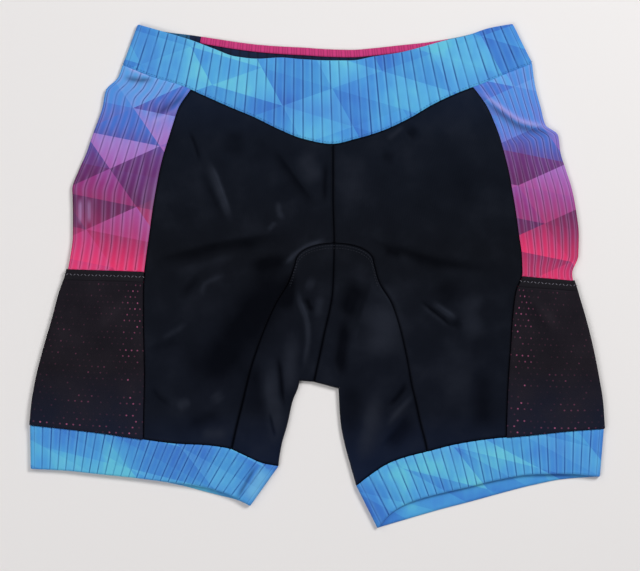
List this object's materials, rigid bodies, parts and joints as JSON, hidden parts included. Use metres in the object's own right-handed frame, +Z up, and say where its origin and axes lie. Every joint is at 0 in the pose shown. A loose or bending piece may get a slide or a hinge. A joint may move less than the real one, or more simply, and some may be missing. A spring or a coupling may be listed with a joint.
{
  "type": "cycling shorts",
  "caption": "cycling shorts laid flat, front up: ribbed waistband and side panels, plain stretch legs, mesh thigh pockets and ribbed bands at the leg hems",
  "frame": {"origin": "on the surface the shorts lie on, under the middle of their bounding box", "axes": "+X across the garment to the viewer's right, +Y towards the waist, +Z up from the surface; the front of the shorts faces +Z"},
  "size_m": [0.5059, 0.4426, 0.0066],
  "materials": {
    "ribbed_sky": "ribbed stretch cloth, printed sky blue",
    "ribbed_navy": "ribbed stretch cloth, dark blue inside",
    "tape_pink": "ribbed stretch tape, pink",
    "lycra_black": "smooth black stretch knit with a soft sheen",
    "ribbed_violet": "ribbed stretch cloth, printed blue to violet to pink",
    "mesh_black": "fine black mesh",
    "binding_black": "black stretch binding",
    "ribbed_blue": "ribbed stretch cloth, printed blue"
  },
  "bodies": {
    "root": {"waistband_front": "ribbed_sky", "waistband_back": "ribbed_navy", "waist_tape": "tape_pink", "front_panel_left": "lycra_black", "front_panel_right": "lycra_black", "back_panel_left": "lycra_black", "back_panel_right": "lycra_black", "inner_leg_left": "lycra_black", "inner_leg_right": "lycra_black", "side_panel_left": "ribbed_violet", "side_panel_right": "ribbed_violet", "pocket_left": "mesh_black", "pocket_right": "mesh_black", "pocket_binding_left": "binding_black", "pocket_binding_right": "binding_black", "hem_band_left": "ribbed_blue", "hem_band_right": "ribbed_blue"}
  },
  "joints": []
}
